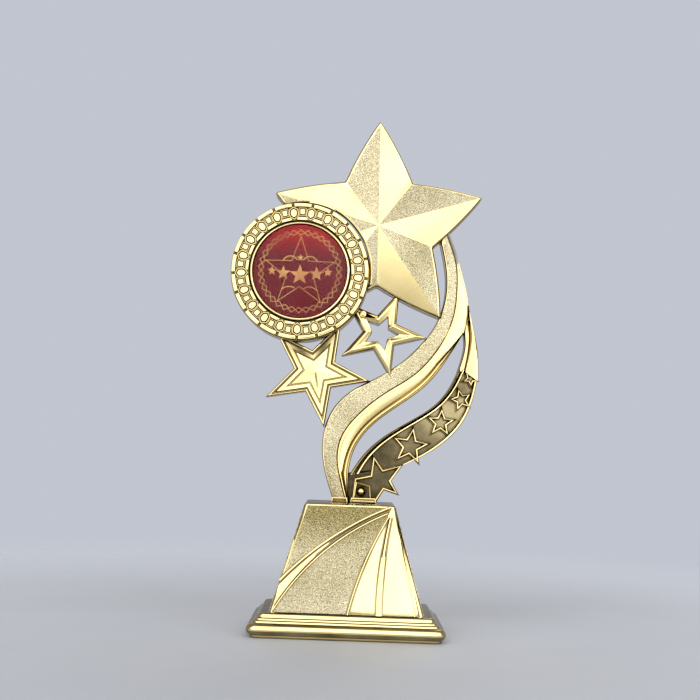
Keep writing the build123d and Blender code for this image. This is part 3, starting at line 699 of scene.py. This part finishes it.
# A bright rounded line runs round each star, above its lower mirror face, which gets painted shade, and is
# narrower on the small stars
STAR_LINE = [(0, TRAIL_FLOOR), (0, 5.0), (0.12, 5.5), (0.27, 5.78), (0.42, 5.86), (0.57, 5.78), (0.69, 5.5),
             (0.75, 4.9), (0.9, 4.7)]
for number, shape in enumerate(TRAIL_STARS, start=1):
    tip_radius = shape[2]
    scale = min(1.0, 0.55 + tip_radius / 10)
    steps = [(inset * scale, height) for inset, height in STAR_LINE]
    trail_star = polished_piece("star_of_trail_" + str(number), relief(star(*shape), steps),
                                ["trail_star_" + str(number)], crease=35)
    # Painted shade on the star's low face
    repaint(trail_star, SHADE_PAINTED_GOLD, lies_low)

# The lowest star is a little prouder than the others, with the same line and one more round its window
WINDOW_LINE = [(-0.3, 4.8), (-0.25, 5.6), (-0.1, 5.8), (0.1, 5.7), (0.2, 4.97)]
PROUDER = 0.15
standing = relief(STANDING_STAR, [(inset, height + PROUDER) for inset, height in STAR_LINE])
standing = together([standing, relief(LEG_WINDOW, WINDOW_LINE)])
star_standing = polished_piece("star_standing", standing, ["trail_star_5"], crease=35)
# Painted shade on the standing star's low faces
repaint(star_standing, SHADE_PAINTED_GOLD, lies_low)
BALL_PROFILE = [(1.45, 4.0), (1.45, 5.15), (1.3, 5.35), (1.1, 5.2), (1.02, 4.97), (0.98, 5.3), (0.86, 5.75),
                (0.62, 6.1), (0.3, 6.28), (0.08, 6.32)]
polished_piece("ball_in_leg", turned(BALL_PROFILE, *BALL_PLACE, count=36), ["ball_boss"], crease=50)

# Low plinths under the figure's two feet, a little narrower at the top, each with a rounded frame
PLINTH_STEPS = [(0, 0.2), (0, 5.9), (0.08, 6.1), (0.25, 6.2), (0.45, 6.05), (0.55, 5.8)]


def plinth(left, right, rise=1.3, lean=0.2):
    """Low step on the base, from one x to another."""
    foot = BASE_HEIGHT - 0.1
    top = BASE_HEIGHT + rise
    return relief([(left, foot), (right, foot), (right - lean, top), (left + lean, top)], PLINTH_STEPS)


polished_piece("foot_plinths", together([plinth(-5.0, -0.6), plinth(0.0, 6.9)]), crease=35)

# Small ring-shaped mark on the open star
MARK_PROFILE = [(0.95, 5.8), (0.95, 6.8), (0.85, 6.95), (0.6, 7.0), (0.48, 6.85), (0.15, 6.88)]
polished_piece("open_star_mark", turned(MARK_PROFILE, *MARK_PLACE, count=32), crease=50)

# ---------------------------------------------------------------- medal
GEMS = 21
GEM_CIRCLE = 15.5
GEM_TURN = 360 / GEMS
FIRST_GEM = 98.0  # degrees
MEDAL_SIDES = 12 * GEMS
LAND = MEDAL_HEIGHT - 0.8  # level of the pattern's ground
BEZEL_PROFILE = [
    (DISC_RADIUS + 0.1, DISC_FRONT - 0.8), (DISC_RADIUS + 0.1, MEDAL_HEIGHT - 0.45),
    (DISC_RADIUS + 0.18, MEDAL_HEIGHT - 0.3), (DISC_RADIUS + 0.38, MEDAL_HEIGHT - 0.22),
    (DISC_RADIUS + 0.58, MEDAL_HEIGHT - 0.35), (DISC_RADIUS + 0.68, LAND - 0.3),
    (DISC_RADIUS + 0.9, LAND - 0.45), (DISC_RADIUS + 1.0, LAND - 0.2), (DISC_RADIUS + 1.1, LAND - 0.3),
    (MEDAL_RADIUS - 1.3, LAND - 0.3), (MEDAL_RADIUS - 1.2, LAND - 0.5), (MEDAL_RADIUS - 0.4, LAND - 0.5),
    (MEDAL_RADIUS - 0.2, LAND - 0.8), (MEDAL_RADIUS - 0.06, LAND - 1.2), (MEDAL_RADIUS, LAND - 1.7),
    (MEDAL_RADIUS, 0.15), (MEDAL_RADIUS - 0.15, 0), (MEDAL_RADIUS - 1.65, 0), (MEDAL_RADIUS - 1.8, 0.15),
    (MEDAL_RADIUS - 1.8, DISC_FRONT - 2.4), (MEDAL_RADIUS - 2.1, DISC_FRONT - 2.2),
]
medal_frame = polished_piece("medal_frame", turned(BEZEL_PROFILE, MEDAL_X, MEDAL_Z, MEDAL_SIDES),
                             ["medal_bezel"], crease=30)


def lies_under_gems(polygon):
    """Front faces of the medal at the level of the pattern's ground, which get painted shade."""
    return polygon.normal.y < -0.5 and LAND - 0.6 < BACK_Y - polygon.center.y / MM < LAND - 0.1


repaint(medal_frame, GROUND_SHADE_GOLD, lies_under_gems)

# Gem outlines, their x pointing outwards from the medal's centre
LONG_GEM = [(1.75, 0), (1.0, 1.22), (0, 1.32), (-1.0, 1.12),
            (-1.75, 0), (-1.0, -1.12), (0, -1.32), (1.0, -1.22)]
SQUARE_GEM = [(1.1, -1.03), (1.1, 1.03), (-1.05, 0.92), (-1.05, -0.92)]
INNER_GEM = [(0.42, -0.95), (0.42, 0.95), (0.1, 1.35), (-0.42, 1.5), (-0.42, -1.5), (0.1, -1.35)]


def ring_sector(inner, outer, half_angle, count=9):
    """Piece of a ring, centred on the x axis."""
    angles = [radians(half_angle * (2 * i / (count - 1) - 1)) for i in range(count)]
    far = [(outer * cos(a), outer * sin(a)) for a in angles]
    near = [(inner * cos(a), inner * sin(a)) for a in reversed(angles)]
    return far + near


def on_medal(outline, radius, angle):
    """Outline at a radius and angle of the medal, its local x pointing outwards."""
    x = MEDAL_X + radius * cos(radians(angle))
    z = MEDAL_Z + radius * sin(radians(angle))
    return moved(outline, x, z, angle)


def gem_steps(frame_width, groove):
    """Thin frame, deep groove, then the flat gem body with a small rounded edge."""
    inner = frame_width + groove
    return [(0, LAND - 0.7), (0, LAND + 0.12), (0.04, LAND + 0.2), (frame_width - 0.04, LAND + 0.2),
            (frame_width, LAND + 0.12), (frame_width + 0.03, LAND - 0.55), (inner - 0.03, LAND - 0.55),
            (inner, LAND + 0.2), (inner + 0.06, LAND + 0.3), (inner + 0.16, LAND + 0.3)]


def medal_pattern():
    """Long gems and squares in turn, with a shaped inner gem and an outer bar at each square."""
    solids = []
    outer_bar = ring_sector(MEDAL_RADIUS - 1.45, MEDAL_RADIUS - 0.3, 7.7)
    bar_steps = [(0, LAND - 0.9), (0, LAND), (0.06, LAND + 0.22), (0.15, LAND + 0.33), (0.3, LAND + 0.36)]
    inner_steps = [(0, LAND - 0.5), (0, LAND - 0.05), (0.08, LAND + 0.08), (0.3, LAND + 0.1)]
    for k in range(GEMS):
        long_angle = FIRST_GEM - GEM_TURN * k
        square_angle = long_angle - GEM_TURN / 2
        solids.append(relief(on_medal(LONG_GEM, GEM_CIRCLE, long_angle), gem_steps(0.2, 0.3)))
        solids.append(relief(on_medal(SQUARE_GEM, GEM_CIRCLE + 0.3, square_angle), gem_steps(0.15, 0.22)))
        solids.append(relief(on_medal(INNER_GEM, GEM_CIRCLE - 1.45, square_angle), inner_steps))
        solids.append(relief(on_medal(outer_bar, 0, square_angle), bar_steps))
    return together(solids)


polished_piece("medal_gems", medal_pattern(), crease=14)


# ---------------------------------------------------------------- emblem print
PRINT_BOTTOM = DISC_FRONT - 0.02
PRINT_TOP = DISC_FRONT + 0.03
FINE_LINE = 0.16
LOZENGES = 17
LOZENGE_CIRCLE, LOZENGE_SWING = 10.4, 0.75
LOZENGE_START = 0.1  # radians

# Printed stars: x and z from the emblem's middle, and tip radius
STAR_ROW = [(-7.4, -0.1, 1.3), (-4.4, -0.6, 2.0), (0, -1.0, 2.8), (4.4, -0.6, 2.0), (7.4, -0.1, 1.3)]
CROWN_STAR = (0, 3.6, 1.0)
SHARPEST_MITRE = 0.35  # a printed line's corners widen it no more than by one over this


def line_solid(points, width, closed):
    """Flat printed line along some points."""
    points = np.array(points, float)
    if closed:
        ahead = np.roll(points, -1, axis=0) - points
        behind = points - np.roll(points, 1, axis=0)
    else:
        ahead = np.diff(points, axis=0, append=points[-1:] * 2 - points[-2:-1])
        behind = np.diff(points, axis=0, prepend=points[:1] * 2 - points[1:2])
    ahead /= np.linalg.norm(ahead, axis=1)[:, None]
    behind /= np.linalg.norm(behind, axis=1)[:, None]
    side = np.column_stack([-(ahead + behind)[:, 1], (ahead + behind)[:, 0]])
    side /= np.linalg.norm(side, axis=1)[:, None]
    across = np.column_stack([-ahead[:, 1], ahead[:, 0]])
    stretch = 1 / np.maximum(np.abs((side * across).sum(axis=1)), SHARPEST_MITRE)
    offset = side * (width / 2 * stretch)[:, None]
    left, right = points + offset, points - offset
    vertices, faces = [], []
    for a, b in zip(left, right):
        vertices += [on_figure(*a, PRINT_BOTTOM), on_figure(*a, PRINT_TOP),
                     on_figure(*b, PRINT_TOP), on_figure(*b, PRINT_BOTTOM)]
    count = len(points)
    for i in range(count if closed else count - 1):
        j = (i + 1) % count
        for k in range(4):
            m = (k + 1) % 4
            faces.append((4 * i + k, 4 * i + m, 4 * j + m, 4 * j + k))
    if not closed:
        faces.append((0, 1, 2, 3))
        last = 4 * (count - 1)
        faces.append((last + 3, last + 2, last + 1, last))
    return vertices, faces


def printed_star(x, z, tip):
    """Full star at a place of the emblem, one point upwards."""
    outline = star(MEDAL_X + x, MEDAL_Z + z, tip, tip * 0.42, 90)
    return relief(outline, [(0, PRINT_BOTTOM), (0, PRINT_TOP)])


def printed_scroll(side, through, width):
    """Arc on the left or right side of the emblem, through three places."""
    places = [(MEDAL_X + side * x, MEDAL_Z + z) for x, z in through]
    return line_solid(arc_line(*places, count=14), width, closed=False)


def emblem_ornament():
    """Ring of lozenges, a thin star outline, and generic stars and scrolls in the middle."""
    solids = []
    for start in (0, 1):
        zigzag = []
        for k in range(2 * LOZENGES):
            radius = LOZENGE_CIRCLE + (LOZENGE_SWING if (k + start) % 2 else -LOZENGE_SWING)
            angle = pi * k / LOZENGES + LOZENGE_START
            zigzag.append((MEDAL_X + radius * cos(angle), MEDAL_Z + radius * sin(angle)))
        solids.append(line_solid(zigzag, FINE_LINE, closed=True))
    solids.append(line_solid(star(MEDAL_X, MEDAL_Z - 0.3, 9.6, 3.8, 90), FINE_LINE, closed=True))
    solids += [printed_star(*place) for place in STAR_ROW]
    for side in (-1, 1):
        solids.append(printed_scroll(side, [(0.8, 3.0), (2.6, 4.0), (4.6, 2.6)], 0.3))
        solids.append(printed_scroll(side, [(1.2, -4.6), (3.2, -4.2), (4.8, -5.2)], 0.25))
    solids.append(printed_star(*CROWN_STAR))
    return together(solids)


make_piece("emblem_print", emblem_ornament(), FOIL, crease=30)

# Clear dome over the print, as a shallow cap on a thin straight edge
DOME_EDGE = 0.3
DOME_STEPS = 25
dome_profile = [(DOME_RADIUS, DISC_FRONT + 0.01), (DOME_RADIUS, DISC_FRONT + 0.8 * DOME_EDGE)]
for step in range(1, DOME_STEPS):
    share = cos(pi / 2 * step / DOME_STEPS)
    rise = (DOME_TOP - DISC_FRONT - DOME_EDGE) * (1 - share**2)
    dome_profile.append((DOME_RADIUS * share, DISC_FRONT + DOME_EDGE + rise))
make_piece("emblem_cover", turned(dome_profile, MEDAL_X, MEDAL_Z, count=120), RESIN,
           ["emblem_dome"], crease=30)

# ---------------------------------------------------------------- ribs and panels on the block
# The wide rib has a bead along each side of its broad middle. Valleys are the profile's faces that get
# painted shade
ARC_PROFILE = [(0, -0.1, 0), (0, -0.1, 0.08), (0, 0.1, 0.1), (0, 0.14, 0.65), (0, 0.22, 0.8), (0, 0.5, 0.8),
               (0, 0.58, 0.65), (0, 0.62, 0.3), (0, 0.92, 0.3), (0, 0.96, 0.75), (0.5, 0, 0.9),
               (1, -0.86, 0.75), (1, -0.82, 0.3), (1, -0.56, 0.3), (1, -0.52, 0.65), (1, -0.45, 0.8),
               (1, -0.22, 0.8), (1, -0.14, 0.65), (1, -0.1, 0.1), (1, 0.1, 0.08), (1, 0.1, 0)]
ARC_SHADE_VALLEYS = (1, 7, 12, 18)
RIB_PROFILE = [(0, -0.2, 0), (0, -0.2, 0.08), (0, 0.08, 0.1), (0, 0.14, 0.5), (0.35, 0, 0.8), (0.65, 0, 0.8),
               (1, -0.14, 0.5), (1, -0.08, 0.1), (1, 0.2, 0.08), (1, 0.2, 0)]
RIB_SHADE_VALLEYS = (1, 7)

# Each rib's two edges, as arcs through three points of the block's front
ARC_EDGES = ((10.3, 27.5), (-2.6, 20.8), (-16.9, 8.9)), ((9.4, 25.2), (-5.2, 16.0), (-18.5, 0.1))
NARROW_EDGES = ((9.7, 24.9), (4.5, 14.7), (-0.2, 0.1)), ((10.2, 24.6), (5.2, 14.5), (0.6, 0.1))
BROAD_EDGES = ((9.9, 24.3), (8.0, 13.6), (7.2, 0.1)), ((10.9, 24.6), (9.5, 14.0), (8.9, 0.1))


def rib(name, edges, profile, valleys, node):
    """Curved rib on the block's front, with painted shade along the given valleys of its profile."""
    left, right = (arc_line(*edge) for edge in edges)
    solid = strip(left, right, profile, count=90, place=on_block_front)
    piece = polished_piece(name, solid, [node], crease=40)
    repaint(piece, SHADE_PAINTED_GOLD, lambda polygon: polygon.index % len(profile) in valleys)


rib("rib_arc", ARC_EDGES, ARC_PROFILE, ARC_SHADE_VALLEYS, "arc_rib")
rib("rib_narrow", NARROW_EDGES, RIB_PROFILE, RIB_SHADE_VALLEYS, "narrow_rib")
rib("rib_broad", BROAD_EDGES, RIB_PROFILE, RIB_SHADE_VALLEYS, "broad_rib")

# Frosted fields: steps of the thin sheet, and the height of their lower edge up the slope
PANEL_STEPS = [(0, -0.15), (0, 0.03), (0.05, 0.06)]
FIELD_FOOT = 0.25


def field(half_foot, half_top, top):
    """Corners of a field that narrows upwards."""
    return [(-half_foot, FIELD_FOOT), (half_foot, FIELD_FOOT), (half_top, top), (-half_top, top)]


def panel(name, outline, place):
    """Thin frosted field just proud of the polished block."""
    make_piece(name, relief(outline, PANEL_STEPS, place), BLOCK_FROST, crease=30)


# The front field ends at the narrow rib's curve, and the rest of the front stays polished
wide_field = field(18.7, 10.75, 27.1)
front_edge = [tuple(point) for point in arc_line((0.2, FIELD_FOOT), (4.8, 14.6), (10.0, 25.6), count=24)]
panel("frosted_front", wide_field[:1] + front_edge + wide_field[2:], on_block_front)
panel("frosted_back", wide_field, on_block_back)
for name, place in (("frosted_right", on_block_right), ("frosted_left", on_block_left)):
    panel(name, field(12.6, 9.2, 28.0), place)

# ---------------------------------------------------------------- studio, in metres
FLOOR_RADIUS = 0.30
FADE_START, FADE_END = 0.06, 0.28
CAMERA_TILT = radians(4.0)
CAMERA_ROLL = radians(2.0)
CAMERA_DISTANCE = 0.330
AIM = Vector((-0.0014, 0.0015, 0.0736))  # what the lens looks at
BACKDROP = (0.535, 0.560, 0.625, 1)

# Brightness of the light tent, from right behind the trophy (0) to the lens (1)
TENT = [(0.0, 0.16), (0.012, 0.20), (0.03, 0.42), (0.30, 0.36), (0.40, 0.15), (0.60, 0.15), (0.68, 0.75),
        (0.80, 1.0), (0.9965, 1.0), (0.9985, 0.06)]


def studio_floor():
    """Pale floor that fades out into the backdrop colour with distance."""
    mesh = bpy.data.meshes.new("floor")
    corners = 96
    angles = [2 * pi * i / corners for i in range(corners)]
    rim = [(FLOOR_RADIUS * cos(angle), FLOOR_RADIUS * sin(angle), 0) for angle in angles]
    mesh.from_pydata(rim, [], [tuple(range(corners))])
    floor = bpy.data.objects.new("floor", mesh)
    bpy.context.collection.objects.link(floor)
    material, nodes, links = new_material("floor")
    shader = nodes["Principled BSDF"]
    shader.inputs["Roughness"].default_value = 0.6
    tone = blend_colours(nodes, links, noise(nodes, links, 30, 3), (0.69, 0.72, 0.79), (0.72, 0.75, 0.82))
    links.new(tone, shader.inputs["Base Color"])
    place = nodes.new("ShaderNodeTexCoord")
    reach = nodes.new("ShaderNodeVectorMath")
    reach.operation = "LENGTH"
    links.new(place.outputs["Object"], reach.inputs[0])
    fade = remap(nodes, links, reach.outputs["Value"], FADE_START, FADE_END, kind="SMOOTHSTEP")
    clear = nodes.new("ShaderNodeBsdfTransparent")
    mix = nodes.new("ShaderNodeMixShader")
    links.new(fade, mix.inputs["Fac"])
    links.new(shader.outputs["BSDF"], mix.inputs[1])
    links.new(clear.outputs["BSDF"], mix.inputs[2])
    links.new(mix.outputs["Shader"], nodes["Material Output"].inputs["Surface"])
    mesh.materials.append(material)


def studio_world():
    """Pale backdrop to the camera. What the gold mirrors is a cloudy light tent.

    The tent is bright in front, dim at the sides and behind, and dark round the lens.
    """
    world = bpy.data.worlds.new("studio")
    world.use_nodes = True
    bpy.context.scene.world = world
    nodes, links = world.node_tree.nodes, world.node_tree.links
    output = nodes["World Output"]
    tent = nodes["Background"]
    place = nodes.new("ShaderNodeTexCoord")
    facing = nodes.new("ShaderNodeVectorMath")
    facing.operation = "DOT_PRODUCT"
    facing.inputs[1].default_value = (0, -cos(CAMERA_TILT), -sin(CAMERA_TILT))
    links.new(place.outputs["Generated"], facing.inputs[0])
    zero_to_one = remap(nodes, links, facing.outputs["Value"], -1, 1)
    ramp = nodes.new("ShaderNodeValToRGB")
    while len(ramp.color_ramp.elements) < len(TENT):
        ramp.color_ramp.elements.new(0.5)
    for element, (position, grey) in zip(ramp.color_ramp.elements, TENT):
        element.position = position
        element.color = (grey, grey, grey, 1)
    links.new(zero_to_one, ramp.inputs["Fac"])
    cloud = nodes.new("ShaderNodeTexNoise")
    cloud.inputs["Scale"].default_value = 2.6
    cloud.inputs["Detail"].default_value = 1.5
    links.new(place.outputs["Generated"], cloud.inputs["Vector"])
    clouding = remap(nodes, links, cloud.outputs["Fac"], 0.35, 0.65, 1.5, 2.3)
    links.new(ramp.outputs["Color"], tent.inputs["Color"])
    path = nodes.new("ShaderNodeLightPath")
    for_diffuse = remap(nodes, links, path.outputs["Is Diffuse Ray"], 0, 1, 1.0, 0.5)
    links.new(product(nodes, links, clouding, for_diffuse), tent.inputs["Strength"])
    backdrop = nodes.new("ShaderNodeBackground")
    backdrop.inputs["Color"].default_value = BACKDROP
    mix = nodes.new("ShaderNodeMixShader")
    links.new(path.outputs["Is Camera Ray"], mix.inputs["Fac"])
    links.new(tent.outputs["Background"], mix.inputs[1])
    links.new(backdrop.outputs["Background"], mix.inputs[2])
    links.new(mix.outputs["Shader"], output.inputs["Surface"])


def area_light(name, place, target, size, power, colour=(1, 1, 1)):
    """Rectangular lamp at a place, turned to the target."""
    data = bpy.data.lights.new(name, "AREA")
    data.shape = "RECTANGLE"
    data.size, data.size_y = size
    data.energy = power
    data.color = colour
    light = bpy.data.objects.new(name, data)
    light.location = place
    light.rotation_mode = "QUATERNION"
    light.rotation_quaternion = (Vector(target) - Vector(place)).to_track_quat("-Z", "Y")
    bpy.context.collection.objects.link(light)


def studio_camera():
    """A lens in front of the trophy, below its middle, tilted upwards and rolled a little."""
    data = bpy.data.cameras.new("camera")
    data.sensor_width = 36
    data.lens = 63.8
    data.clip_start = 0.01
    data.clip_end = 10
    camera = bpy.data.objects.new("camera", data)
    bpy.context.collection.objects.link(camera)
    camera.location = AIM - CAMERA_DISTANCE * Vector((0, cos(CAMERA_TILT), sin(CAMERA_TILT)))
    camera.rotation_mode = "QUATERNION"
    look = (AIM - camera.location).to_track_quat("-Z", "Y")
    camera.rotation_quaternion = look @ Quaternion((0, 0, 1), CAMERA_ROLL)
    bpy.context.scene.camera = camera


studio_floor()
studio_world()
# Lamps: place, target, size, power and colour
area_light("key", (-0.28, -0.30, 0.52), (0, 0, 0.05), (0.22, 0.22), 0.28, (1.0, 0.98, 0.95))
area_light("fill", (0.42, -0.20, 0.30), (0, 0, 0.07), (0.20, 0.30), 0.20, (0.95, 0.97, 1.0))
area_light("back", (0.15, 0.45, 0.45), (0, 0, 0.07), (0.30, 0.20), 0.35)
studio_camera()
bpy.context.scene.view_settings.view_transform = "Standard"
